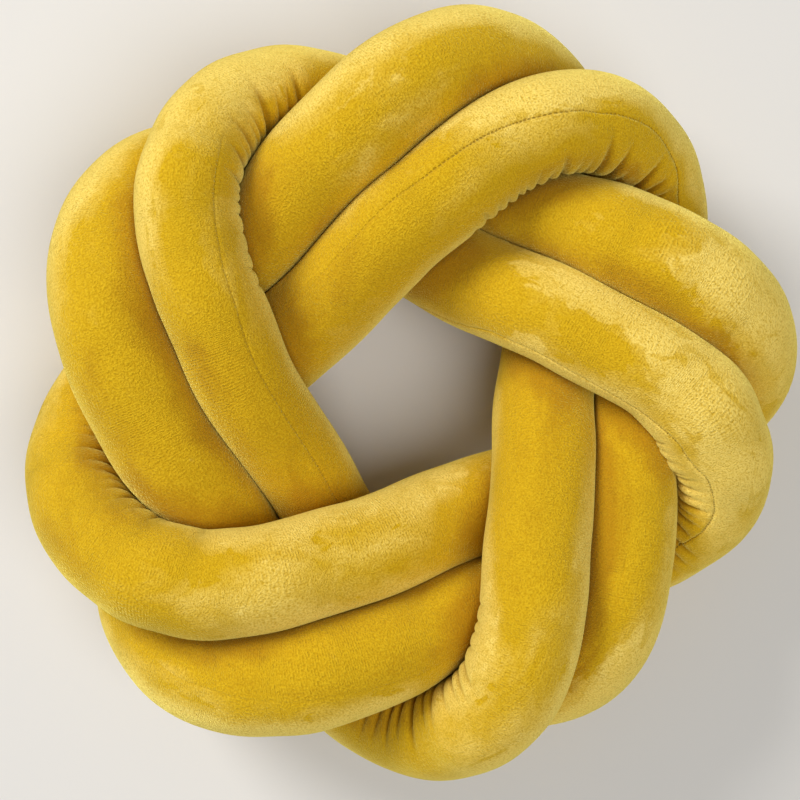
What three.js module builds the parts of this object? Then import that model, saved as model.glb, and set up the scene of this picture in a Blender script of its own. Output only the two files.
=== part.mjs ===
// Knot cushion: one long stuffed velvet tube, laid twice round a ring as a five-armed knot
// and joined end to end. Millimetres, +Z up. It lies on z = 0, and its box is centred on
// the Z axis.

import * as THREE from 'three';

// ---- Driving dimensions -------------------------------------------------------------

const TUBE_DIAMETER = 55; // stuffed tube where nothing presses on it, at a girth of 1
const TUBE_LENGTH = 3860; // tube as sewn, before the knot is pulled tight
const KNOT_HEIGHT = 119.5; // from the floor to the crown, which is patted flat
const FLOOR_PRESS = 2.5; // how far the floor presses a stretch in that lies on it
const CONTACT_GAP = 0.8; // left between two stretches that press on each other

// The tube crosses from the hole to the rim and back ten times; each such pass covers
// two fifths of the ring, clockwise seen from above, and the passes alternate between
// the inner and the outer one of a pair.
const PASSES = 10;
const TURN_PER_PASS = 144; // degrees
const FIRST_BEARING = 138; // where the first pass leaves the hole, degrees from +X

// The loose knot before it is pulled tight.
const LOOSE_KNOT = {
  radius: 130, // of the ring's middle line
  swing: 58, // towards the hole and the rim
  lift: 24, // over and under the crossing pairs
  sideStep: 27, // between the two passes of a pair
  sideLift: 21.6, // of a pass while it changes sides in its pair
  changeFrom: 0.22, // share of the pass where that change starts
  changeTo: 0.78, // and where it ends
};

// Where each pass turns back at the rim, in the order in which the tube runs through
// them, and how stout the tube is there. The turns differ, because the tube was stuffed
// and tucked by hand.
const TURNS = [
  { place: 'upper right, on top', bearing: 51, reach: 161, girth: 0.97 },
  { place: 'lower right, beneath', bearing: 293, reach: 158, girth: 0.91 },
  { place: 'upper left, on top', bearing: 117, reach: 164, girth: 0.96 },
  { place: 'right, beneath', bearing: 3, reach: 165, girth: 1.02 },
  { place: 'left, on top', bearing: 194, reach: 178, girth: 0.99 },
  { place: 'top, beneath', bearing: 75, reach: 170, girth: 1.11 },
  { place: 'bottom, on top', bearing: 280, reach: 175, girth: 0.97 },
  { place: 'left, beneath', bearing: 145, reach: 179, girth: 1.12 },
  { place: 'lower right, on top', bearing: 341, reach: 153, girth: 0.93 },
  { place: 'lower left, beneath', bearing: 223, reach: 179, girth: 1.06 },
];
const GIRTH_AT = 0.33; // share of the pass where it has its own girth
const TURN_AT = { onTop: 0.55, beneath: 0.45 }; // share of the pass where it turns
const TURN_SPREAD = 0.6; // passes to either side that follow a turn to its place

// Gathers on the inside of the turns that show: where they start and end in the tube, in
// passes, how many pleats there are, how deep they are, and the angles that the middle of
// the first and of the last pleat have round the tube, from its inner side towards its top.
const GATHERS = [
  { from: 0.27, to: 0.63, pleats: 13, depth: 2.4, firstAngle: 20, lastAngle: 75 },
  { from: 2.26, to: 2.58, pleats: 9, depth: 2.2, firstAngle: 10, lastAngle: 85 },
  { from: 4.35, to: 4.60, pleats: 8, depth: 1.0, firstAngle: 20, lastAngle: 75 },
  { from: 6.28, to: 6.68, pleats: 14, depth: 2.0, firstAngle: 15, lastAngle: 105 },
  { from: 8.40, to: 8.64, pleats: 9, depth: 1.8, firstAngle: 15, lastAngle: 115 },
];
const GATHER_WIDTH = 60; // degrees round the tube from the middle of a pleat to its end
const PLEAT_UNEVENNESS = 0.3; // share by which pleats differ in pitch and depth

// ---- How the tube settles -----------------------------------------------------------

const POINTS_PER_PASS = 30;
const SETTLE_STEPS = 240;
const FREE_STEPS = 20; // the last steps, when the turns are no longer held
const STIFFNESS = 0.3;
const STIFF_REACHES = [1, 2, 4]; // points to either side that feel a bend
const PRESSED_SHARE = 0.92; // distance of two pressed stretches, in the sum of their radii
const NEIGHBOUR_SHARE = 1.5; // length of tube, in diameters, that can't touch itself
const PUSH_SHARE = 0.9;
const LENGTH_ROUNDS = 3;
const LENGTH_SHARE = 0.45;
const HOLD_SHARE = 0.25;
const SAG_PER_STEP = 0.12;
const START_HEIGHT = 66; // of the loose knot's middle above the floor

// ---- Mesh ---------------------------------------------------------------------------

const SIDES = 16; // round the tube
const PLAIN_STEP = 0.039; // passes from one ring of points to the next where it is smooth
const LIMIT_POINTS_PER_PASS = 120; // of the middle line that limits the tube's width
const SHOULDER_SHARPNESS = 16; // how suddenly a pressed flank turns round

const VELVET = { color: 0xc99a1d, roughness: 0.85, metalness: 0 };

const POINTS = PASSES * POINTS_PER_PASS;
const UP = new THREE.Vector3(0, 0, 1);

// ---- Helpers ------------------------------------------------------------------------

function radians(degrees) {
  return THREE.MathUtils.degToRad(degrees);
}

function wrap(index, count) {
  return (index + count) % count;
}

function ringDistance(a, b, count) {
  const apart = Math.abs(a - b);
  return Math.min(apart, count - apart);
}

// Radius of the tube where nothing presses on it, at a place along it in passes.
function freeRadius(along) {
  const place = (along - GIRTH_AT + PASSES) % PASSES;
  const pass = Math.floor(place);
  const share = THREE.MathUtils.smoothstep(place - pass, 0, 1);
  const girth = THREE.MathUtils.lerp(TURNS[pass].girth, TURNS[wrap(pass + 1, PASSES)].girth, share);
  return girth * TUBE_DIAMETER / 2;
}

// ---- Middle line of the tube --------------------------------------------------------

function looseKnot() {
  const points = [];
  for (let i = 0; i < POINTS; i += 1) {
    const along = i / POINTS_PER_PASS;
    const pass = Math.floor(along);
    const bearing = radians(FIRST_BEARING - TURN_PER_PASS * along);
    const wave = 2 * Math.PI * along;
    const change = THREE.MathUtils.smoothstep(along - pass, LOOSE_KNOT.changeFrom, LOOSE_KNOT.changeTo);
    const side = Math.PI * (pass + change);
    const radius = LOOSE_KNOT.radius - LOOSE_KNOT.swing * Math.cos(wave)
      - LOOSE_KNOT.sideStep * Math.cos(side);
    const height = START_HEIGHT + LOOSE_KNOT.lift * Math.sin(wave) + LOOSE_KNOT.sideLift * Math.sin(side);
    points.push(new THREE.Vector3(radius * Math.cos(bearing), radius * Math.sin(bearing), height));
  }
  return points;
}

function halfwayOffset(points, index, reach) {
  const before = points[wrap(index - reach, POINTS)];
  const after = points[wrap(index + reach, POINTS)];
  return before.clone().add(after).multiplyScalar(0.5).sub(points[index]);
}

function stiffen(points) {
  for (const reach of STIFF_REACHES) {
    const bends = points.map((point, i) => halfwayOffset(points, i, reach));
    const changes = bends.map((bend, i) => halfwayOffset(bends, i, reach));
    points.forEach((point, i) => point.addScaledVector(changes[i], -STIFFNESS));
  }
}

function pushApart(points, radii) {
  const nearest = Math.floor(NEIGHBOUR_SHARE * TUBE_DIAMETER * POINTS / TUBE_LENGTH);
  const pushes = points.map(() => new THREE.Vector3());
  const touches = points.map(() => 0);
  for (let i = 0; i < POINTS; i += 1) {
    for (let j = i + 1; j < POINTS; j += 1) {
      const distance = points[i].distanceTo(points[j]);
      const pressed = PRESSED_SHARE * (radii[i] + radii[j]);
      if (distance >= pressed || ringDistance(i, j, POINTS) <= nearest) continue;
      const push = points[i].clone().sub(points[j]).multiplyScalar((pressed - distance) / distance);
      pushes[i].add(push);
      pushes[j].sub(push);
      touches[i] += 1;
      touches[j] += 1;
    }
  }
  points.forEach((point, i) => point.addScaledVector(pushes[i], PUSH_SHARE / Math.max(2, touches[i])));
}

function evenLength(points) {
  const wanted = TUBE_LENGTH / POINTS;
  for (let round = 0; round < LENGTH_ROUNDS; round += 1) {
    const shifts = points.map((point, i) => {
      const edge = points[wrap(i + 1, POINTS)].clone().sub(point);
      const length = edge.length();
      return edge.multiplyScalar(LENGTH_SHARE * (length - wanted) / length);
    });
    points.forEach((point, i) => point.add(shifts[i]).sub(shifts[wrap(i - 1, POINTS)]));
  }
}

function holdTurns(points) {
  TURNS.forEach((turn, pass) => {
    const share = pass % 2 === 0 ? TURN_AT.onTop : TURN_AT.beneath;
    const middle = Math.round((pass + share) * POINTS_PER_PASS);
    const shiftX = turn.reach * Math.cos(radians(turn.bearing)) - points[middle].x;
    const shiftY = turn.reach * Math.sin(radians(turn.bearing)) - points[middle].y;
    points.forEach((point, i) => {
      const away = ringDistance(i, middle, POINTS) / (TURN_SPREAD * POINTS_PER_PASS);
      const follow = away < 1 ? HOLD_SHARE * (0.5 + 0.5 * Math.cos(Math.PI * away)) : 0;
      point.x += follow * shiftX;
      point.y += follow * shiftY;
    });
  });
}

function layDown(points, radii) {
  points.forEach((point, i) => {
    const lowest = radii[i] - FLOOR_PRESS;
    point.z = THREE.MathUtils.clamp(point.z - SAG_PER_STEP, lowest, KNOT_HEIGHT - radii[i]);
  });
}

function settledMiddleLine() {
  const points = looseKnot();
  const radii = points.map((_, i) => freeRadius(i / POINTS_PER_PASS));
  for (let step = 0; step < SETTLE_STEPS; step += 1) {
    stiffen(points);
    pushApart(points, radii);
    evenLength(points);
    if (step < SETTLE_STEPS - FREE_STEPS) holdTurns(points);
    layDown(points, radii);
  }
  return new THREE.CatmullRomCurve3(points, true);
}

// ---- Surface of the tube ------------------------------------------------------------

// Rings of points along the tube: even steps where it is smooth, and one ring on each
// ridge and in each trough where it is gathered.
function ringPlaces() {
  const rings = [];
  let along = 0;
  const smoothTo = (end) => {
    const steps = Math.max(1, Math.round((end - along) / PLAIN_STEP));
    const first = along;
    for (let i = 0; i < steps; i += 1) {
      rings.push({ along: first + (end - first) * i / steps, depth: 0, middle: 0 });
    }
    along = end;
  };
  for (const gather of GATHERS) {
    smoothTo(gather.from);
    for (let i = 0; i < gather.pleats; i += 1) {
      const unevenness = PLEAT_UNEVENNESS * Math.sin(2.4 * i + gather.from);
      const ridge = (i + 0.5 * unevenness) / gather.pleats;
      const trough = (i + 0.5 + 0.5 * unevenness) / gather.pleats;
      const fade = Math.sin(Math.PI * trough);
      const length = gather.to - gather.from;
      rings.push({ along: gather.from + length * ridge, depth: 0, middle: 0 });
      rings.push({
        along: gather.from + length * trough,
        depth: gather.depth * (0.5 + 0.5 * fade) * (1 - unevenness),
        middle: radians(THREE.MathUtils.lerp(gather.firstAngle, gather.lastAngle, trough)),
      });
    }
    along = gather.to;
  }
  smoothTo(PASSES);
  return rings;
}

// The flank stays on its own side of the plane between it and any other stretch of the
// tube; the plane lies halfway, or nearer to the thinner of the two.
function flankRadius(centre, direction, along, line) {
  const own = NEIGHBOUR_SHARE * TUBE_DIAMETER * PASSES / TUBE_LENGTH;
  const free = freeRadius(along);
  let limit = Infinity;
  for (const other of line) {
    if (ringDistance(other.along, along, PASSES) < own) continue;
    const towards = other.point.clone().sub(centre);
    const facing = towards.dot(direction);
    if (facing <= 0) continue;
    const distance = towards.length();
    const share = distance * (distance - CONTACT_GAP) + free ** 2 - other.radius ** 2;
    limit = Math.min(limit, share / (2 * facing));
  }
  const pressed = (limit / free) ** -SHOULDER_SHARPNESS;
  return free * (1 + pressed) ** (-1 / SHOULDER_SHARPNESS);
}

function pleatDepth(ring, angle) {
  const away = Math.abs(angle - ring.middle) / radians(GATHER_WIDTH);
  return away < 1 ? ring.depth * (0.5 + 0.5 * Math.cos(Math.PI * away)) : 0;
}

function surfacePoint(ring, angle, centre, side, top, line) {
  const direction = side.clone().multiplyScalar(Math.cos(angle)).addScaledVector(top, Math.sin(angle));
  const radius = flankRadius(centre, direction, ring.along, line) - pleatDepth(ring, angle);
  const point = centre.clone().addScaledVector(direction, radius);
  if (point.z <= 0) {
    point.copy(centre).addScaledVector(direction, centre.z / -direction.z);
    point.z = 0;
  }
  return point;
}

function tubeGeometry() {
  const curve = settledMiddleLine();
  const line = [];
  for (let i = 0; i < PASSES * LIMIT_POINTS_PER_PASS; i += 1) {
    const along = i / LIMIT_POINTS_PER_PASS;
    line.push({ along, point: curve.getPoint(along / PASSES), radius: freeRadius(along) });
  }

  const rings = ringPlaces();
  const positions = [];
  for (const ring of rings) {
    const centre = curve.getPoint(ring.along / PASSES);
    const tangent = curve.getTangent(ring.along / PASSES);
    const side = tangent.clone().cross(UP).normalize();
    const top = side.clone().cross(tangent);
    for (let j = 0; j < SIDES; j += 1) {
      const angle = radians(360 * j / SIDES - 180);
      positions.push(...surfacePoint(ring, angle, centre, side, top, line).toArray());
    }
  }

  const indices = [];
  for (let i = 0; i < rings.length; i += 1) {
    for (let j = 0; j < SIDES; j += 1) {
      const here = i * SIDES + j;
      const round = i * SIDES + wrap(j + 1, SIDES);
      const ahead = wrap(i + 1, rings.length) * SIDES + j;
      const both = wrap(i + 1, rings.length) * SIDES + wrap(j + 1, SIDES);
      indices.push(here, ahead, round);
      indices.push(round, ahead, both);
    }
  }

  const geometry = new THREE.BufferGeometry();
  geometry.setAttribute('position', new THREE.Float32BufferAttribute(positions, 3));
  geometry.setIndex(indices);
  geometry.computeBoundingBox();
  const middle = geometry.boundingBox.getCenter(new THREE.Vector3());
  geometry.translate(-middle.x, -middle.y, 0);
  geometry.computeVertexNormals();
  return geometry;
}

// ---- Assembly -----------------------------------------------------------------------

const tube = new THREE.Mesh(tubeGeometry(), new THREE.MeshStandardMaterial(VELVET));
tube.name = 'knot_tube';

const knotCushion = new THREE.Group();
knotCushion.add(tube);

export default knotCushion;
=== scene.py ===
"""Knot cushion: one long stuffed velvet tube in a doubled, five-armed ring knot, on its back.

Metres, +Z up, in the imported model's frame. The tube is settled into its knot as in part.mjs
and then gets what the solid leaves out: its long seam and stitches, every gather where it
turns, the end join underneath, and the velvet itself. It is settled in code, not by a cloth
simulation, so that the gathers and the seam stay where they are placed.
"""

import math

import bpy
import numpy as np
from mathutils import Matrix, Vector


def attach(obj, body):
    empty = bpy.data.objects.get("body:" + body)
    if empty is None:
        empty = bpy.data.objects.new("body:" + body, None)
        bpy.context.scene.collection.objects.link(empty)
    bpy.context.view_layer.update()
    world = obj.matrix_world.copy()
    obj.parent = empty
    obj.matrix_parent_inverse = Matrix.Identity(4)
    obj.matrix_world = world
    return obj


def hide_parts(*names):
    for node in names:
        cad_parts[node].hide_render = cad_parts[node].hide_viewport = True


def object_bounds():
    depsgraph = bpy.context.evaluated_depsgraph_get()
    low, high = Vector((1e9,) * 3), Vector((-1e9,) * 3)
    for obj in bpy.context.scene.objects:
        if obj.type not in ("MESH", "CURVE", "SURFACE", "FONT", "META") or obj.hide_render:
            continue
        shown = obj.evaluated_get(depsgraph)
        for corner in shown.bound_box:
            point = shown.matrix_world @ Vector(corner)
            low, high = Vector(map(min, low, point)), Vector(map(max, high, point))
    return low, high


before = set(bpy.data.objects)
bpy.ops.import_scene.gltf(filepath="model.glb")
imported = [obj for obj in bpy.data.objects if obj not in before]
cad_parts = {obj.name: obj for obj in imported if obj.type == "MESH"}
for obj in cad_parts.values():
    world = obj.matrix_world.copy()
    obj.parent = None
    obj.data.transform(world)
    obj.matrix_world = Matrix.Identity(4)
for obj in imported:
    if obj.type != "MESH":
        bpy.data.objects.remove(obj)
cad_low, cad_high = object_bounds()

# ---- Driving dimensions, as in part.mjs ----------------------------------------------

TUBE_DIAMETER = 0.055  # stuffed tube where nothing presses on it, at a girth of 1
TUBE_LENGTH = 3.86  # tube as sewn, before the knot is pulled tight
KNOT_HEIGHT = 0.1195  # from the floor to the crown, which is patted flat
FLOOR_PRESS = 0.0025  # how far the floor presses a stretch in that lies on it

# The tube crosses from the hole to the rim and back ten times; each such pass covers two
# fifths of the ring, clockwise seen from above, and the passes alternate between the inner
# and the outer one of a pair.
PASSES = 10
TURN_PER_PASS = 144  # degrees
FIRST_BEARING = 138  # where the first pass leaves the hole, degrees from +X
PASS_LENGTH = TUBE_LENGTH / PASSES

# The loose knot before it is pulled tight.
LOOSE_RADIUS = 0.130  # of the ring's middle line
LOOSE_SWING = 0.058  # towards the hole and the rim
LOOSE_LIFT = 0.024  # over and under the crossing pairs
LOOSE_SIDE_STEP = 0.027  # between the two passes of a pair
LOOSE_SIDE_LIFT = 0.0216  # of a pass while it changes sides in its pair
CHANGE_FROM = 0.22  # share of the pass where that change starts
CHANGE_TO = 0.78  # and where it ends

# Where each pass turns back at the rim: bearing in degrees, reach in metres, and how stout
# the tube is there.
TURNS = [
    # bearing, reach, girth
    (51, 0.161, 0.97),  # upper right, on top
    (293, 0.158, 0.91),  # lower right, beneath
    (117, 0.164, 0.96),  # upper left, on top
    (3, 0.165, 1.02),  # right, beneath
    (194, 0.178, 0.99),  # left, on top
    (75, 0.170, 1.11),  # top, beneath
    (280, 0.175, 0.97),  # bottom, on top
    (145, 0.179, 1.12),  # left, beneath
    (341, 0.153, 0.93),  # lower right, on top
    (223, 0.179, 1.06),  # lower left, beneath
]
GIRTH_AT = 0.33  # share of the pass where it has its own girth
TURN_AT_ON_TOP = 0.55  # share of the pass where it turns, for the even ones
TURN_AT_BENEATH = 0.45  # and for the odd ones
TURN_SPREAD = 0.6  # passes to either side that follow a turn to its place

# ---- How the tube settles ------------------------------------------------------------

POINTS_PER_PASS = 30
POINTS = PASSES * POINTS_PER_PASS
SETTLE_STEPS = 240
FREE_STEPS = 20  # the last steps, when the turns are no longer held
STIFFNESS = 0.3
STIFF_REACHES = (1, 2, 4)  # points to either side that feel a bend
PRESSED_SHARE = 0.92  # distance of two pressed stretches, in the sum of their radii
NEIGHBOUR_SHARE = 1.5  # length of tube, in diameters, that can't touch itself
PUSH_SHARE = 0.9
LEAST_TOUCHES = 2  # by which a push is divided at the least
LENGTH_ROUNDS = 3
LENGTH_SHARE = 0.45
HOLD_SHARE = 0.25
SAG_PER_STEP = 0.00012
START_HEIGHT = 0.066  # of the loose knot's middle above the floor


def smoothstep(x, low, high):
    t = np.clip((x - low) / (high - low), 0, 1)
    return t * t * (3 - 2 * t)


def unit(vectors):
    return vectors / np.linalg.norm(vectors, axis=-1, keepdims=True)


def half_turned(angles):
    """The same angles in degrees, from -180 to 180."""
    return (angles + 180) % 360 - 180


def free_radius(along):
    """Radius of the tube where nothing presses on it, at places along it in passes."""
    girths = np.array([girth for _, _, girth in TURNS])
    place = np.mod(along - GIRTH_AT, PASSES)
    number = np.floor(place).astype(int) % PASSES
    share = smoothstep(place - number, 0, 1)
    girth = girths[number] * (1 - share) + girths[(number + 1) % PASSES] * share
    return girth * TUBE_DIAMETER / 2


def loose_knot():
    along = np.arange(POINTS) / POINTS_PER_PASS
    passes = np.floor(along)
    bearing = np.radians(FIRST_BEARING - TURN_PER_PASS * along)
    wave = 2 * np.pi * along
    side = np.pi * (passes + smoothstep(along - passes, CHANGE_FROM, CHANGE_TO))
    radius = LOOSE_RADIUS - LOOSE_SWING * np.cos(wave) - LOOSE_SIDE_STEP * np.cos(side)
    height = START_HEIGHT + LOOSE_LIFT * np.sin(wave) + LOOSE_SIDE_LIFT * np.sin(side)
    return np.stack([radius * np.cos(bearing), radius * np.sin(bearing), height], 1)


def halfway_offset(points, reach):
    return (np.roll(points, reach, 0) + np.roll(points, -reach, 0)) / 2 - points


def stiffened(points):
    for reach in STIFF_REACHES:
        points = points - STIFFNESS * halfway_offset(halfway_offset(points, reach), reach)
    return points


def pushed_apart(points, radii, far):
    apart = points[:, None] - points[None]
    distance = np.sqrt((apart**2).sum(-1)) + 1e-12
    pressed = PRESSED_SHARE * (radii[:, None] + radii[None])
    squeeze = np.where(far & (distance < pressed), pressed - distance, 0)
    push = (apart * (squeeze / distance)[:, :, None]).sum(1)
    touches = np.maximum(LEAST_TOUCHES, (squeeze > 0).sum(1))
    return points + push * (PUSH_SHARE / touches)[:, None]


def evened(points):
    wanted = TUBE_LENGTH / POINTS
    for _ in range(LENGTH_ROUNDS):
        edge = np.roll(points, -1, 0) - points
        length = np.linalg.norm(edge, axis=1, keepdims=True)
        shift = edge * LENGTH_SHARE * (length - wanted) / length
        points = points + shift - np.roll(shift, 1, 0)
    return points


def held_at_turns(points, ring_distance):
    points = points.copy()
    for number, (bearing, reach, _) in enumerate(TURNS):
        share = TURN_AT_ON_TOP if number % 2 == 0 else TURN_AT_BENEATH
        middle = round((number + share) * POINTS_PER_PASS)
        angle = math.radians(bearing)
        place = reach * np.array([math.cos(angle), math.sin(angle)])
        away = ring_distance[middle] / (TURN_SPREAD * POINTS_PER_PASS)
        follow = np.where(away < 1, HOLD_SHARE * (0.5 + 0.5 * np.cos(np.pi * away)), 0)
        points[:, :2] += follow[:, None] * (place - points[middle, :2])
    return points


def settled_middle_line():
    index = np.arange(POINTS)
    ring_distance = np.abs(index[:, None] - index[None])
    ring_distance = np.minimum(ring_distance, POINTS - ring_distance)
    nearest = math.floor(NEIGHBOUR_SHARE * TUBE_DIAMETER * POINTS / TUBE_LENGTH)
    points = loose_knot()
    radii = free_radius(index / POINTS_PER_PASS)
    lowest, highest = radii - FLOOR_PRESS, KNOT_HEIGHT - radii
    for step in range(SETTLE_STEPS):
        points = stiffened(points)
        points = pushed_apart(points, radii, ring_distance > nearest)
        points = evened(points)
        if step < SETTLE_STEPS - FREE_STEPS:
            points = held_at_turns(points, ring_distance)
        points[:, 2] = np.clip(points[:, 2] - SAG_PER_STEP, lowest, highest)
    return points


# ---- Surface of the tube -------------------------------------------------------------

LINE_POINTS = 6000  # of the middle line, read between its settled points
LIMIT_EVERY = 5  # every fifth of them limits the tube's width
TANGENT_STEP = 0.25 / POINTS_PER_PASS  # passes to either side that give the line's direction
PLAIN_STEP = 0.0044  # along the tube where it is smooth
GATHER_STEP = 0.0011  # and where it is gathered
LAST_STEP_SHARE = 0.4  # of a plain step, the least that is left before the tube closes
SIDES = 62  # round the tube
CREASE_GAP = 0.0003  # between touching stretches, closer than the solid leaves it
SHOULDER_SHARPNESS = 40  # how suddenly a pressed flank turns round
FACING_LEAST = 1e-9  # cosine below which a stretch doesn't limit a point
HIGHER = (-0.05, 0.2)  # slope to another stretch from where, and by where, it counts as higher, for the painted shade beneath it
EXPOSED_POWER = 4  # how soon lumps fade out where the tube is pressed

# Places round the tube are angles from its inner side, which faces the ring's middle, up to
# its top at 90 degrees and on to its outer side at 180. Places along it are in passes.

# The long seam: it lies on top for some of the tube's way and rolls under for the rest, and
# the pile hides more or less of it.
SEAM = [
    # along, angle, how much of it shows
    (0.00, 107, 0.2),
    (0.10, 108, 0.2),
    (0.22, 109, 0.5),
    (0.32, 103, 1.0),
    (0.40, 93, 1.0),
    (0.46, 88, 0.7),
    (0.53, 97, 0.8),
    (0.60, 101, 1.0),
    (0.64, 102, 1.0),
    (0.85, 92, 0.6),
    (1.06, 87, 0.1),
    (1.10, 87, 0.0),
    (1.17, 83, 0.0),
    (1.20, 79, 0.2),
    (1.24, 77, 0.0),
    (1.40, 74, 0.2),
    (1.60, 72, 0.5),
    (2.00, 65, 0.5),
    (2.15, 64, 0.5),
    (2.24, 54, 0.4),
    (2.33, 52, 0.6),
    (2.38, 61, 0.3),
    (2.44, 64, 0.0),
    (2.55, 40, 0.0),
    (2.75, -30, 0.6),
    (3.10, -90, 1.0),
    (7.70, -90, 1.0),
    (7.90, -40, 1.0),
    (8.02, 10, 0.6),
    (8.11, 31, 0.6),
    (8.28, 23, 0.7),
    (8.36, 31, 1.0),
    (8.42, 44, 1.0),
    (8.47, 67, 1.0),
    (8.55, 89, 1.0),
    (8.62, 97, 1.0),
    (8.80, 106, 0.8),
    (9.00, 118, 0.1),
    (9.07, 120, 0.25),
    (9.18, 105, 0.1),
    (9.28, 93, 0.25),
    (9.38, 96, 0.1),
    (10.0, 107, 0.2),
]
SEAM_DEPTH = 0.0007
SEAM_HALF_WIDTH = 2.4  # degrees round the tube

# Every gather: a narrow valley that runs round the tube from its foot, on the inside of a
# turn, to its tip. Depth and half width in millimetres.
GATHERS = [
    # foot along, foot angle, tip along, tip angle, depth, half width
    # upper right turn
    (0.260, 10, 0.262, 35, 1.0, 2.3),
    (0.280, 15, 0.280, 42, 1.9, 2.2),
    (0.300, 10, 0.300, 38, 1.8, 2.2),
    (0.318, 5, 0.316, 38, 2.4, 2.0),
    (0.336, 0, 0.336, 38, 2.5, 2.0),
    (0.350, 5, 0.350, 38, 2.1, 1.9),
    (0.368, 5, 0.384, 44, 2.5, 2.2),
    (0.393, 5, 0.407, 40, 2.5, 2.2),
    (0.417, 0, 0.413, 68, 4.1, 2.3),
    (0.442, 5, 0.437, 44, 2.4, 2.0),
    (0.464, 0, 0.459, 50, 2.8, 2.3),
    (0.492, 5, 0.476, 92, 5.5, 2.3),
    (0.528, 15, 0.511, 86, 5.9, 2.2),
    (0.556, 20, 0.536, 56, 3.4, 1.7),
    (0.597, 42, 0.572, 102, 6.4, 2.2),
    (0.616, 62, 0.611, 98, 4.2, 1.7),
    (0.640, 70, 0.636, 100, 3.4, 1.7),
    # upper left turn
    (2.180, 0, 2.186, 32, 1.2, 1.9),
    (2.203, 0, 2.210, 34, 1.5, 1.8),
    (2.232, 0, 2.238, 26, 0.8, 2.2),
    (2.265, 0, 2.272, 28, 1.0, 1.9),
    (2.291, 0, 2.297, 32, 1.7, 1.8),
    (2.311, 0, 2.316, 32, 1.7, 1.8),
    (2.333, 0, 2.336, 36, 1.5, 1.8),
    (2.354, 5, 2.352, 58, 2.7, 2.0),
    (2.382, 8, 2.396, 72, 3.3, 2.3),
    (2.402, 8, 2.408, 60, 1.7, 1.8),
    (2.421, 10, 2.426, 98, 3.3, 2.3),
    (2.442, 20, 2.440, 80, 1.7, 1.9),
    (2.458, 28, 2.452, 92, 2.4, 2.0),
    (2.480, 34, 2.491, 108, 4.5, 2.6),
    (2.512, 50, 2.516, 96, 2.0, 1.9),
    (2.537, 62, 2.540, 96, 2.0, 1.9),
    (2.556, 70, 2.555, 114, 3.0, 2.2),
    # left turn
    (4.362, 4, 4.355, 54, 1.4, 2.0),
    (4.386, 4, 4.403, 54, 1.5, 2.0),
    (4.427, 4, 4.427, 62, 2.2, 2.1),
    (4.451, 5, 4.455, 60, 2.0, 2.1),
    (4.472, 14, 4.476, 58, 1.2, 1.8),
    (4.492, 22, 4.498, 66, 2.2, 2.0),
    (4.515, 34, 4.513, 80, 2.3, 2.0),
    (4.543, 46, 4.546, 90, 2.3, 2.1),
    (4.571, 58, 4.571, 92, 1.5, 1.9),
    (4.588, 70, 4.580, 94, 1.4, 1.9),
    # bottom turn
    (6.298, 10, 6.290, 34, 1.0, 1.7),
    (6.324, 8, 6.314, 34, 1.1, 1.7),
    (6.345, 5, 6.338, 32, 1.1, 1.5),
    (6.372, 0, 6.362, 34, 1.5, 1.8),
    (6.402, 0, 6.416, 82, 2.3, 2.9),
    (6.430, 5, 6.431, 76, 2.6, 2.0),
    (6.455, 2, 6.442, 66, 2.6, 1.9),
    (6.484, 10, 6.468, 72, 2.5, 2.1),
    (6.512, 18, 6.507, 90, 2.5, 2.0),
    (6.538, 30, 6.524, 80, 2.5, 1.8),
    (6.566, 42, 6.560, 122, 4.0, 2.1),
    (6.592, 55, 6.587, 106, 3.4, 1.9),
    (6.613, 66, 6.611, 126, 3.0, 1.9),
    (6.636, 80, 6.640, 130, 2.4, 2.0),
    (6.660, 96, 6.660, 132, 1.8, 2.0),
    # lower right turn
    (8.360, 0, 8.368, 28, 1.2, 1.7),
    (8.384, 0, 8.390, 30, 1.2, 1.7),
    (8.404, 0, 8.411, 36, 1.8, 1.8),
    (8.438, 4, 8.427, 44, 1.8, 1.6),
    (8.458, 10, 8.437, 56, 2.2, 1.6),
    (8.478, 18, 8.461, 74, 2.4, 1.6),
    (8.498, 28, 8.483, 74, 2.4, 1.7),
    (8.519, 38, 8.501, 84, 3.8, 1.7),
    (8.534, 48, 8.524, 80, 2.2, 1.4),
    (8.550, 55, 8.541, 90, 3.8, 1.8),
    (8.573, 70, 8.572, 98, 3.4, 1.8),
    (8.597, 90, 8.596, 134, 3.4, 2.0),
    (8.620, 106, 8.620, 140, 2.5, 1.8),
    (8.642, 116, 8.644, 142, 1.8, 1.8),
]
FOOT_LENGTH = 15  # degrees below its foot over which a gather keeps its depth
FOOT_FADE = 50  # and over which it then fades out, underneath
VALLEY_POWER = 1.5  # how quickly a valley rises to its sides
GATHERED_MARGIN = 0.022  # passes beside a valley that get the finer step
GATHER_REACH = 0.066  # and past which its depth is left out

# Slight unevenness of the stuffing: waves round the whole knot, waves round the tube, depth.
LUMPS = [
    # along, round, height, phase
    (37, 1, 0.00025, 0.4),
    (61, 2, 0.00018, 2.1),
    (97, -1, 0.00012, 4.0),
]

# Where the filling swells between gathers or in a bend: a middle on the tube, half lengths
# along and round it, and the height of the swelling.
SWELLINGS = [
    # along, angle, half along, half round, height
    (8.40, -5, 0.11, 80, 0.0040),  # lower right turn, inside
]

JOIN_AT = 7.72  # where the tube's ends meet, underneath
JOIN_DEPTH = 0.0012
JOIN_HALF_WIDTH = 0.0020


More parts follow.
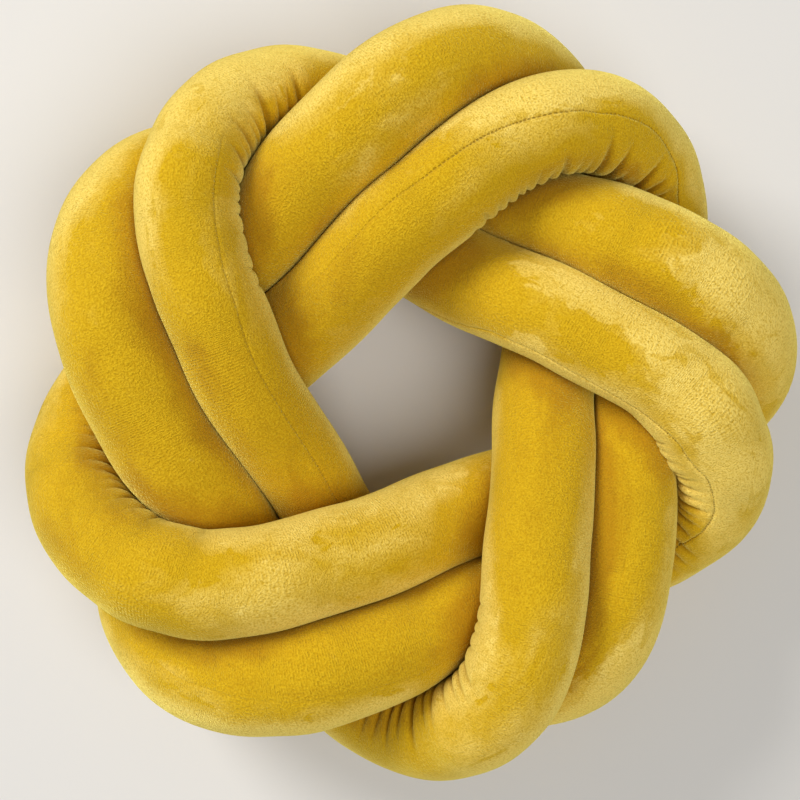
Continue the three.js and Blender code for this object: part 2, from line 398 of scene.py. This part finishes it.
def read_line(points, along):
    """Points of the closed middle line at places along it, through its Fourier series."""
    waves = np.fft.rfft(points, axis=0)
    dense = np.zeros((LINE_POINTS // 2 + 1, 3), complex)
    dense[: len(waves)] = waves
    line = np.fft.irfft(dense, n=LINE_POINTS, axis=0) * LINE_POINTS / POINTS
    closed = np.concatenate([line, line[:1]])
    places = np.mod(along, PASSES) / PASSES * LINE_POINTS
    index = np.arange(LINE_POINTS + 1)
    return np.stack([np.interp(places, index, closed[:, axis]) for axis in range(3)], 1)


def ring_places():
    """Places of the rings of points, from the end join on, closer where it is gathered."""
    ends = [row[0] for row in GATHERS] + [row[2] for row in GATHERS] + [JOIN_AT]
    gathered = np.concatenate([ends, np.array(ends) + PASSES])
    places = []
    along = JOIN_AT
    while along < JOIN_AT + PASSES - LAST_STEP_SHARE * PLAIN_STEP / PASS_LENGTH:
        places.append(along)
        near = np.abs(gathered - along).min() < GATHERED_MARGIN
        along += (GATHER_STEP if near else PLAIN_STEP) / PASS_LENGTH
    return np.array(places)


def round_angles():
    """Angles of a ring's points from the seam: a few close to it, the rest evenly."""
    beside = [-SEAM_HALF_WIDTH, -SEAM_HALF_WIDTH / 2, 0, SEAM_HALF_WIDTH / 2, SEAM_HALF_WIDTH]
    first = 2 * SEAM_HALF_WIDTH
    rest = np.linspace(first, 360 - first, SIDES - len(beside))
    return np.concatenate([beside[2:], rest, np.array(beside[:2]) + 360])


def flank_radius(centre, direction, along, line, line_along, line_radii):
    """Free radius of the tube, limited by the planes between it and its other stretches, and
    how much a higher stretch covers it, which sets the painted shade beneath it: 1 where they
    touch."""
    own = NEIGHBOUR_SHARE * TUBE_DIAMETER * PASSES / TUBE_LENGTH
    free = free_radius(along)
    apart = np.abs(line_along - along)
    offset = line - centre
    distance = np.linalg.norm(offset, axis=1)
    near = (np.minimum(apart, PASSES - apart) >= own) & (distance < 2 * TUBE_DIAMETER)
    offset, distance, radii = offset[near], distance[near], line_radii[near]
    facing = direction @ offset.T
    share = distance * (distance - CREASE_GAP) + free**2 - radii**2
    share = np.broadcast_to(share, facing.shape)
    limit = np.full(facing.shape, np.inf)
    ahead = facing > FACING_LEAST
    limit[ahead] = share[ahead] / (2 * facing[ahead])
    pressed = (limit.min(1) / free) ** -SHOULDER_SHARPNESS
    # How near a higher stretch lies, for the painted shade beneath it.
    higher = smoothstep(offset[:, 2] / distance, *HIGHER)
    shaded_by_higher = np.clip(free / limit * higher, 0, 1).max(1)
    return free * (1 + pressed) ** (-1 / SHOULDER_SHARPNESS), shaded_by_higher


def gather_depth(along, angles):
    """How far the gathers draw the points of one ring in; angles in degrees."""
    depth = np.zeros_like(angles)
    for foot, foot_angle, tip, tip_angle, deep, half_width in GATHERS:
        if abs(along - foot) > GATHER_REACH:
            continue
        climb = np.clip((tip_angle - angles) / (tip_angle - foot_angle), 0, 1)
        under = smoothstep(foot_angle - FOOT_LENGTH - angles, 0, FOOT_FADE)
        away = (along - tip - (foot - tip) * climb) * PASS_LENGTH / (half_width * 0.001)
        valley = (1 + away**2) ** -VALLEY_POWER
        depth += deep * 0.001 * smoothstep(climb, 0, 1) * (1 - under) * valley
    return depth


def lump_height(along, angles):
    height = np.zeros_like(angles)
    for place, angle, half_along, half_round, size in SWELLINGS:
        beside = half_turned(angles - angle)
        away = np.hypot((along - place) / half_along, beside / half_round)
        height += size * (1 - smoothstep(away, 0, 1))
    for waves, round_waves, size, phase in LUMPS:
        turn = 2 * np.pi * waves * along / PASSES
        height += size * np.sin(turn + round_waves * np.radians(angles) + phase)
    return height


def set_on_floor(ring, centre, direction):
    """Bring the points of one ring that lie below the floor up to it, towards its centre."""
    below = ring[:, 2] < 0
    reach = centre[2] / -np.where(direction[:, 2] < 0, direction[:, 2], -1)
    ring[below] = (centre + reach[:, None] * direction)[below]
    ring[below, 2] = 0


def build_tube():
    """The tube's points, ring by ring, and what its cloth has to know about each of them."""
    points = settled_middle_line()
    line_along = np.arange(0, LINE_POINTS, LIMIT_EVERY) * PASSES / LINE_POINTS
    line = read_line(points, line_along)
    line_radii = free_radius(line_along)
    travelled = ring_places()
    places = np.mod(travelled, PASSES)
    centres = read_line(points, places)
    ahead, behind = places + TANGENT_STEP, places - TANGENT_STEP
    tangents = unit(read_line(points, ahead) - read_line(points, behind))
    sides = unit(np.cross(tangents, [0, 0, 1]))
    tops = np.cross(sides, tangents)

    seam_along, seam_angle, seam_shows = np.array(SEAM, float).T
    seam = np.interp(places, seam_along, seam_angle)
    shows = np.interp(places, seam_along, seam_shows)
    offsets = round_angles()
    from_seam = np.abs(half_turned(offsets)) / SEAM_HALF_WIDTH
    seam_fold = SEAM_DEPTH * np.clip(1 - from_seam, 0, 1)

    co = np.zeros((len(places), len(offsets), 3))
    folds, shading_by_higher = np.zeros(co.shape[:2]), np.zeros(co.shape[:2])
    for i, along in enumerate(places):
        angles = half_turned(seam[i] + offsets)
        turn = np.radians(angles)
        direction = np.cos(turn)[:, None] * sides[i] + np.sin(turn)[:, None] * tops[i]
        limits = line, line_along, line_radii
        radius, shading_by_higher[i] = flank_radius(centres[i], direction, along, *limits)
        exposed = (radius / free_radius(along)) ** EXPOSED_POWER
        join = (along - JOIN_AT) * PASS_LENGTH / JOIN_HALF_WIDTH
        folds[i] = gather_depth(along, angles) + JOIN_DEPTH / (1 + join**2)
        radius = radius + exposed * lump_height(along, angles) - folds[i] - shows[i] * seam_fold
        co[i] = centres[i] + radius[:, None] * direction
        set_on_floor(co[i], centres[i], direction)

    low, high = co.reshape(-1, 3).min(0), co.reshape(-1, 3).max(0)
    cad_middle = (np.array(cad_low) + np.array(cad_high)) / 2
    co[..., :2] += (cad_middle - (low + high) / 2)[:2]
    soft, patches = nap_and_painted_light_tones(places, seam, offsets)
    about_points = {
        "fold": folds * 1000,  # millimetres
        "shaded_by_higher": shading_by_higher,
        "nap_and_painted_light": soft,
        "brushed": patches,
        "stitched": np.repeat(shows, len(offsets)),
    }
    return co, travelled, offsets, about_points


def tube_object(co, travelled, offsets, about_points):
    rings, sides = co.shape[:2]
    mesh = bpy.data.meshes.new("knot_tube_cover")
    here = np.arange(rings)[:, None] * sides + np.arange(sides)[None]
    ahead = np.roll(here, -1, 0)
    faces = np.stack([here, ahead, np.roll(ahead, -1, 1), np.roll(here, -1, 1)], -1)
    mesh.from_pydata(co.reshape(-1, 3).tolist(), [], faces.reshape(-1, 4).tolist())
    mesh.polygons.foreach_set("use_smooth", [True] * len(mesh.polygons))

    # Cloth coordinates in metres: along the tube, and round it from the seam.
    along = np.append(travelled - JOIN_AT, PASSES) * TUBE_LENGTH / PASSES
    around = np.append(offsets, 360) / 360 * GIRTH
    uv = np.zeros((rings, sides, 4, 2), np.float32)
    uv[..., 0] = np.stack([along[:-1], along[1:], along[1:], along[:-1]], -1)[:, None]
    uv[..., 1] = np.stack([around[:-1], around[:-1], around[1:], around[1:]], -1)[None]
    mesh.uv_layers.new(name="cloth").data.foreach_set("uv", uv.ravel())
    for name, values in about_points.items():
        attribute = mesh.attributes.new(name, "FLOAT", "POINT")
        attribute.data.foreach_set("value", values.astype(np.float32).ravel())

    obj = bpy.data.objects.new("knot_tube_cover", mesh)
    bpy.context.scene.collection.objects.link(obj)
    return obj


# ---- Velvet --------------------------------------------------------------------------

GIRTH = math.pi * TUBE_DIAMETER  # round the tube, in cloth coordinates
GOLD = (0.58, 0.335, 0.006, 1)
BRIGHT_GOLD = (0.74, 0.47, 0.014, 1)  # tips of the tufts
STRAW = (0.98, 0.73, 0.17, 1)  # painted sheen on the tube's sides, and pile brushed up in patches
VALLEY_SHADE_AND_SEAM = (0.32, 0.150, 0.004, 1)  # painted shade in the valleys of the gathers, and the seam's stitches
FLAT_PILE_AND_SHADE = (0.36, 0.155, 0.005, 1)  # pile laid flat, and painted shade under higher stretches and in creases
NOISES = {
    # name: scale, detail, distortion, stretch
    "speckle": (1300, 1.5, 0.2, (1.0, 0.75, 1)),  # single tufts
    "strokes": (850, 2.0, 0.5, (1.0, 0.45, 1)),  # tufts that lie together
    "rib wander": (60, 1.0, 0.0, (1, 1, 1)),
    "rib share": (28, 2.0, 0.0, (1, 1, 1)),  # where ribs show through the pile
    "clouds": (26, 3.0, 0.8, (1.0, 1.4, 1)),  # soft unevenness of the nap
    "ragged": (110, 4.0, 0.8, (1, 1, 1)),  # edges of brushed patches
    "flecks": (60, 2.0, 1.2, (0.5, 1.0, 1)),  # flat spots left in them
    "seam wander": (320, 2.0, 0.0, (1, 1, 1)),
}
RAMPS = {
    # name: where the ramp starts, where it ends, and what it gives there and there
    "ribs show": (0.42, 0.62, 0.0, 1.0),
    "shaded_by_higher": (0.5, 0.95, 0.0, 1.0),  # painted shade where a higher stretch runs over this one
    "flecks": (0.60, 0.68, 0.0, 0.35),
    # pale straw: painted sheen, and brushed-up nap
    "pale_nap_and_sheen": (-0.25, 1.1, 0.0, 1.0),
    "pale patch": (0.22, 0.42, 0.0, 0.45),
    "deep patch": (-0.42, -0.22, 0.45, 0.0),
    # pile laid flat, and painted shade under higher stretches
    "flat_pile_and_shade": (-1.4, -0.3, 0.6, 0.0),
    "valley": (0.3, 2.6, 0.0, 0.65),  # painted shade in the valleys, from a gather's depth in millimetres
    # painted shade in the crease where two stretches touch
    "crease_shade": (0.92, 1.0, 0.0, 0.45),
    "stitch": (0.0002, 0.0006, 0.0, 1.0),  # from metres to the gap between two stitches
    "thread": (0.0001, 0.0006, 1.0, 0.0),  # from metres to the middle of the seam
}
SPECKLE_TONE, STROKES_TONE, RIB_TONE = 3.0, 1.3, 0.12  # how far each turns a tuft's colour
MIDDLE_TUFT = 0.45  # share of bright gold in a middling tuft
CLOUDS_TONE = 1.8
RAGGED_SHADES = 0.5
RAGGED_PATCHES = 1.1
PALE_PER_TUFT, PALE_MIDDLE = 0.7, 0.75  # how the pale nap and the painted sheen follow the tufts
RIB = 0.0011  # from one knit rib to the next
RIB_WANDER = 0.0012  # and how far they wander
HALF_STITCH = 0.0009
STITCH_SHARE, THREAD_SHARE = 0.8, 0.2  # of the seam's shade: at its stitches, and all along
SEAM_WANDER = 0.0015
SEAM_SHADE = 0.75
PILE_HEIGHT = 0.0007
SPECKLE_HEIGHT, STROKES_HEIGHT, RIB_HEIGHT = 1.2, 0.6, 0.10  # shares of the pile's height
SEWN_HEIGHT = 0.8  # by which the stitches hold the pile down
VELVET_INPUTS = {
    "Roughness": 0.85,
    "Specular IOR Level": 0.06,
    "Sheen Weight": 1.0,
    "Sheen Roughness": 0.4,
    "Sheen Tint": (1.0, 0.88, 0.22, 1),
}


class Nodes:
    """Short hand for the nodes of one material."""

    def __init__(self, material):
        material.use_nodes = True
        self.tree = material.node_tree
        self.shader = self.tree.nodes["Principled BSDF"]

    def link(self, value, socket):
        if isinstance(value, bpy.types.NodeSocket):
            self.tree.links.new(value, socket)
        else:
            socket.default_value = value

    def math(self, operation, *values, clamp=False):
        node = self.tree.nodes.new("ShaderNodeMath")
        node.operation = operation
        node.use_clamp = clamp
        for number, value in enumerate(values):
            self.link(value, node.inputs[number])
        return node.outputs[0]

    def total(self, first, *others):
        for other in others:
            first = self.math("ADD", first, other)
        return first

    def scaled(self, value, factor):
        return self.math("MULTIPLY", value, factor)

    def swing(self, noise, spread):
        """A noise of 0 to 1 as a swing about zero, of this spread in all."""
        return self.math("MULTIPLY_ADD", noise, spread, -spread / 2)

    def ramp(self, value, name):
        """A value along one of the RAMPS."""
        node = self.tree.nodes.new("ShaderNodeMapRange")
        node.interpolation_type = "SMOOTHSTEP"
        for number, item in enumerate((value, *RAMPS[name])):
            self.link(item, node.inputs[number])
        return node.outputs[0]

    def attribute(self, name):
        node = self.tree.nodes.new("ShaderNodeAttribute")
        node.attribute_name = name
        return node.outputs["Fac"]

    def cloth(self):
        """Cloth coordinates: both, along the tube, and round it."""
        uv = self.tree.nodes.new("ShaderNodeUVMap")
        uv.uv_map = "cloth"
        split = self.tree.nodes.new("ShaderNodeSeparateXYZ")
        self.link(uv.outputs[0], split.inputs[0])
        return uv.outputs[0], split.outputs[0], split.outputs[1]

    def noise(self, vector, scale, detail, distortion, stretch):
        turn = self.tree.nodes.new("ShaderNodeMapping")
        self.link(vector, turn.inputs["Vector"])
        turn.inputs["Scale"].default_value = stretch
        node = self.tree.nodes.new("ShaderNodeTexNoise")
        self.link(turn.outputs[0], node.inputs["Vector"])
        node.inputs["Scale"].default_value = scale
        node.inputs["Detail"].default_value = detail
        node.inputs["Distortion"].default_value = distortion
        return node.outputs["Fac"]

    def mix(self, share, first, second):
        node = self.tree.nodes.new("ShaderNodeMix")
        node.data_type = "RGBA"
        # A colour mix has its factor, its two colours and its result at these places.
        self.link(share, node.inputs[0])
        self.link(first, node.inputs[6])
        self.link(second, node.inputs[7])
        return node.outputs[2]

    def bump(self, height, distance):
        node = self.tree.nodes.new("ShaderNodeBump")
        node.inputs["Distance"].default_value = distance
        self.link(height, node.inputs["Height"])
        return node.outputs[0]


# Where the pile is brushed up or flat, and where sheen and shade are painted on: rims that face
# the light paler, and stretches that run down under others or face away from the light deeper
# in colour. Each row gives a middle on the tube, half lengths along and round it, how pale (up
# to 1) or deep in colour (down to -1) it looks there, and how crisp its edge is (0 to 1).
NAP_AND_PAINTED_LIGHT = [
    # along, angle, half along, half round, tone, crisp
    # upper right turn
    (0.10, 100, 0.20, 60, -0.5, 0.0),
    (0.27, 136, 0.05, 16, -0.5, 0.5),
    (0.42, 128, 0.12, 40, 0.7, 0.5),
    (0.38, 70, 0.14, 40, 0.35, 0.0),
    (0.33, 158, 0.13, 20, 0.9, 0.0),
    (0.51, 84, 0.07, 26, -1.0, 0.6),
    (0.56, 132, 0.14, 30, 0.6, 0.0),
    (0.44, 15, 0.25, 50, -0.9, 0.0),
    # lower right, beneath
    (1.10, 80, 0.16, 50, -0.5, 0.0),
    (1.12, 48, 0.14, 32, -0.4, 0.0),
    (1.36, 128, 0.13, 46, 0.9, 0.6),
    # upper left turn
    (2.02, 80, 0.16, 50, -0.5, 0.0),
    (2.24, 95, 0.06, 26, -0.7, 0.4),
    (2.10, 140, 0.14, 32, -1.1, 0.0),
    (2.33, 145, 0.09, 30, 0.5, 0.0),
    (2.34, 98, 0.03, 14, -0.7, 0.4),
    (2.46, 110, 0.14, 60, 0.7, 0.0),
    (2.56, 75, 0.06, 40, 0.6, 0.0),
    # right, beneath
    (2.98, 70, 0.10, 60, -0.8, 0.6),
    (3.12, 112, 0.06, 26, -0.7, 0.6),
    (3.17, 40, 0.12, 32, -0.9, 0.0),
    (3.13, 156, 0.09, 22, 0.9, 0.3),
    (3.20, 95, 0.06, 34, 0.4, 0.3),
    (3.32, 100, 0.14, 60, 0.8, 0.5),
    # left turn
    (3.96, 42, 0.10, 30, 0.7, 0.2),
    (4.13, 28, 0.15, 24, 0.8, 0.2),
    (4.17, 90, 0.18, 60, 0.35, 0.1),
    (4.26, 64, 0.05, 26, -0.7, 0.5),
    (4.46, 90, 0.12, 50, -0.5, 0.0),
    (4.34, 130, 0.11, 45, -0.5, 0.0),
    (4.42, 160, 0.18, 50, -0.7, 0.0),
    (4.45, 15, 0.15, 50, -0.8, 0.0),
    # top, beneath
    (5.10, 100, 0.12, 50, -0.5, 0.0),
    (5.18, 158, 0.08, 24, 0.9, 0.0),
    (5.30, 104, 0.12, 30, 0.3, 0.2),
    (5.36, 98, 0.06, 18, -0.8, 0.6),
    (5.38, 138, 0.20, 30, 0.6, 0.0),
    # bottom turn
    (6.12, 75, 0.20, 50, -0.5, 0.0),
    (6.36, 22, 0.13, 38, 1.0, 0.3),
    (6.50, 126, 0.14, 40, 0.6, 0.0),
    (6.50, 38, 0.08, 30, 0.3, 0.0),
    (6.36, 160, 0.14, 26, 0.7, 0.4),
    (6.59, 125, 0.09, 50, -0.8, 0.0),
    # left, beneath
    (7.20, 80, 0.20, 50, -0.4, 0.0),
    (7.19, 150, 0.13, 45, -0.9, 0.0),
    (7.42, 140, 0.13, 34, 0.6, 0.0),
    (7.50, 110, 0.10, 40, 0.4, 0.2),
    # lower right turn
    (8.02, 70, 0.12, 60, -0.6, 0.0),
    (8.19, 118, 0.09, 26, 0.7, 0.6),
    (8.22, 74, 0.05, 24, -1.0, 0.7),
    (8.155, 36, 0.025, 16, 0.8, 0.8),
    (8.24, 6, 0.18, 28, 1.0, 0.3),
    (8.38, 100, 0.14, 60, 0.6, 0.6),
    (8.50, 50, 0.14, 70, 0.7, 0.0),
    # lower left, beneath
    (9.10, 80, 0.22, 50, -0.4, 0.0),
    (9.26, 146, 0.20, 26, 0.7, 0.0),
]
OUTER_PAINTED_SHEEN = 0.7  # painted sheen: paler pile on the tube's outer side
OUTER_FROM = 102  # degrees round the tube where that starts
OUTER_TO = 170
INNER_PAINTED_SHEEN = 0.8  # painted sheen: paler pile along the tube's inner side
INNER_WIDTH = 38  # degrees round the tube
SHADE_EDGE = (0.3, 1.4)  # shares of its half lengths over which a soft shade fades out
PATCH_EDGE = (0.5, 1.3)  # and a crisp patch


def nap_and_painted_light_tones(places, seam, offsets):
    """Tone of the pile at every point, as soft tones and as crisp patches: its brushed and flat
    patches, with painted sheen on the tube's inner and outer sides and painted sheen and shade
    in some rows.
    """
    angles = half_turned(seam[:, None] + offsets[None])
    # Painted sheen: paler towards the tube's outer and inner sides.
    soft = OUTER_PAINTED_SHEEN * smoothstep(np.abs(angles), OUTER_FROM, OUTER_TO)
    soft += INNER_PAINTED_SHEEN * (1 - smoothstep(np.abs(angles), 0, INNER_WIDTH))
    patches = np.zeros_like(soft)
    for along, angle, half_along, half_round, tone, crisp in NAP_AND_PAINTED_LIGHT:
        apart = (places - along + PASSES / 2) % PASSES - PASSES / 2
        beside = half_turned(angles - angle)
        away = np.hypot(apart[:, None] / half_along, beside / half_round)
        soft += (1 - crisp) * tone * (1 - smoothstep(away, *SHADE_EDGE))
        patches += crisp * np.sign(tone) * (1 - smoothstep(away, *PATCH_EDGE))
    return soft, patches


def velvet():
    material = bpy.data.materials.new("mustard_velvet")
    nodes = Nodes(material)
    uv, along, around = nodes.cloth()
    noise = {name: nodes.noise(uv, *settings) for name, settings in NOISES.items()}
    speckle, strokes, ragged = noise["speckle"], noise["strokes"], noise["ragged"]
    shading_by_higher = nodes.attribute("shaded_by_higher")

    # Pile: a fine speckle of tufts, in faint ribs round the tube.
    rib_place = nodes.total(along, nodes.scaled(noise["rib wander"], RIB_WANDER))
    rib = nodes.math("SINE", nodes.scaled(rib_place, 2 * math.pi / RIB))
    rib = nodes.scaled(rib, nodes.ramp(noise["rib share"], "ribs show"))
    tufts = nodes.total(
        nodes.swing(speckle, SPECKLE_TONE),
        nodes.swing(strokes, STROKES_TONE),
        nodes.scaled(rib, RIB_TONE),
    )
    bright = nodes.math("ADD", tufts, MIDDLE_TUFT, clamp=True)
    colour = nodes.mix(bright, GOLD, BRIGHT_GOLD)

    # Nap and painted light: soft tones over clouds, which carry the painted sheen on the tube's
    # sides and the painted shade of the table's rows and under higher stretches, and brushed
    # patches with ragged edges.
    pile_and_light_tone = nodes.total(nodes.attribute("nap_and_painted_light"), nodes.swing(noise["clouds"], CLOUDS_TONE))
    # Painted shade where a higher stretch runs over this one.
    pile_and_light_tone = nodes.math("SUBTRACT", pile_and_light_tone, nodes.ramp(shading_by_higher, "shaded_by_higher"))
    pile_and_light_tone = nodes.total(pile_and_light_tone, nodes.swing(ragged, RAGGED_SHADES))
    patch = nodes.total(nodes.attribute("brushed"), nodes.swing(ragged, RAGGED_PATCHES))
    patch = nodes.math("SUBTRACT", patch, nodes.ramp(noise["flecks"], "flecks"))
    pale = nodes.total(nodes.ramp(pile_and_light_tone, "pale_nap_and_sheen"), nodes.ramp(patch, "pale patch"))
    pale = nodes.math("SUBTRACT", pale, nodes.ramp(patch, "deep patch"), clamp=True)
    lit = nodes.math("MULTIPLY_ADD", tufts, PALE_PER_TUFT, PALE_MIDDLE)
    pale = nodes.math("MULTIPLY", pale, lit, clamp=True)
    colour = nodes.mix(pale, colour, STRAW)

    # Deeper in colour: pile laid flat and painted shade under higher stretches, painted shade
    # in the valleys of the gathers, and painted shade in the creases where stretches touch.
    colour = nodes.mix(nodes.ramp(pile_and_light_tone, "flat_pile_and_shade"), colour, FLAT_PILE_AND_SHADE)
    colour = nodes.mix(nodes.ramp(nodes.attribute("fold"), "valley"), colour, VALLEY_SHADE_AND_SEAM)
    colour = nodes.mix(nodes.ramp(shading_by_higher, "crease_shade"), colour, FLAT_PILE_AND_SHADE)

    # The seam: a thin line that wanders a little, darker at each stitch.
    wander = nodes.swing(noise["seam wander"], SEAM_WANDER)
    beside = nodes.math("PINGPONG", nodes.total(around, wander), GIRTH / 2)
    stitch = nodes.ramp(nodes.math("PINGPONG", along, HALF_STITCH), "stitch")
    stitch = nodes.math("MULTIPLY_ADD", stitch, STITCH_SHARE, THREAD_SHARE)
    sewn = nodes.scaled(nodes.ramp(beside, "thread"), stitch)
    sewn = nodes.scaled(sewn, nodes.attribute("stitched"))
    colour = nodes.mix(nodes.scaled(sewn, SEAM_SHADE), colour, VALLEY_SHADE_AND_SEAM)
    nodes.link(colour, nodes.shader.inputs["Base Color"])

    # The pile's height, for the bump.
    pile = nodes.total(
        nodes.scaled(speckle, SPECKLE_HEIGHT),
        nodes.scaled(strokes, STROKES_HEIGHT),
        nodes.scaled(rib, RIB_HEIGHT),
    )
    pile = nodes.math("SUBTRACT", pile, nodes.scaled(sewn, SEWN_HEIGHT))
    nodes.link(nodes.bump(pile, PILE_HEIGHT), nodes.shader.inputs["Normal"])
    for name, value in VELVET_INPUTS.items():
        nodes.shader.inputs[name].default_value = value
    return material


# ---- Stage ---------------------------------------------------------------------------

PIXEL = 0.000521  # metres of the ring's middle height that one picture pixel covers
PICTURE_PIXELS = 800
CAMERA_DISTANCE = 0.65  # above the ring's middle height
RING_MIDDLE_PIXEL = (409.6, 396.5)
MIDDLE_HEIGHT = 0.060
SENSOR_WIDTH = 36  # millimetres

FLOOR_SIZE = 6
FLOOR_INPUTS = {"Base Color": (0.74, 0.725, 0.70, 1), "Roughness": 0.9}
AREA_LIGHTS = [
    # name, place, size, power in watts, colour
    ("window", (-2.1, 1.7, 1.65), 1.4, 86, (1, 0.98, 0.95)),
    ("overhead", (0.9, -0.95, 2.7), 2.4, 50, (1, 1, 1)),
]
WORLD_INPUTS = {"Color": (1, 0.99, 0.97, 1), "Strength": 0.2}


def link_object(name, data, location):
    obj = bpy.data.objects.new(name, data)
    obj.location = location
    bpy.context.scene.collection.objects.link(obj)
    return obj


def stage():
    bpy.ops.mesh.primitive_plane_add(size=FLOOR_SIZE, location=(0, 0, 0))
    floor = bpy.context.object
    floor.name = "floor"
    paint = bpy.data.materials.new("pale_floor")
    paint.use_nodes = True
    for name, value in FLOOR_INPUTS.items():
        paint.node_tree.nodes["Principled BSDF"].inputs[name].default_value = value
    floor.data.materials.append(paint)


def lights():
    for name, location, size, power, colour in AREA_LIGHTS:
        light = bpy.data.lights.new(name, "AREA")
        light.shape = "DISK"
        light.size = size
        light.energy = power
        light.color = colour
        obj = link_object(name, light, location)
        obj.rotation_euler = (-obj.location).to_track_quat("-Z", "Y").to_euler()
    world = bpy.data.worlds.new("studio")
    world.use_nodes = True
    for name, value in WORLD_INPUTS.items():
        world.node_tree.nodes["Background"].inputs[name].default_value = value
    bpy.context.scene.world = world


def camera():
    """Straight above, with the ring's middle where the picture has it."""
    data = bpy.data.cameras.new("camera")
    data.sensor_width = SENSOR_WIDTH
    data.lens = SENSOR_WIDTH * CAMERA_DISTANCE / (PIXEL * PICTURE_PIXELS)
    x = (PICTURE_PIXELS / 2 - RING_MIDDLE_PIXEL[0]) * PIXEL
    y = (RING_MIDDLE_PIXEL[1] - PICTURE_PIXELS / 2) * PIXEL
    place = (x, y, MIDDLE_HEIGHT + CAMERA_DISTANCE)
    bpy.context.scene.camera = link_object("camera", data, place)


cover = tube_object(*build_tube())
cover.data.materials.append(velvet())
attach(cover, "root")
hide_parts("knot_tube")
stage()
lights()
camera()
bpy.context.scene.view_settings.view_transform = "Standard"
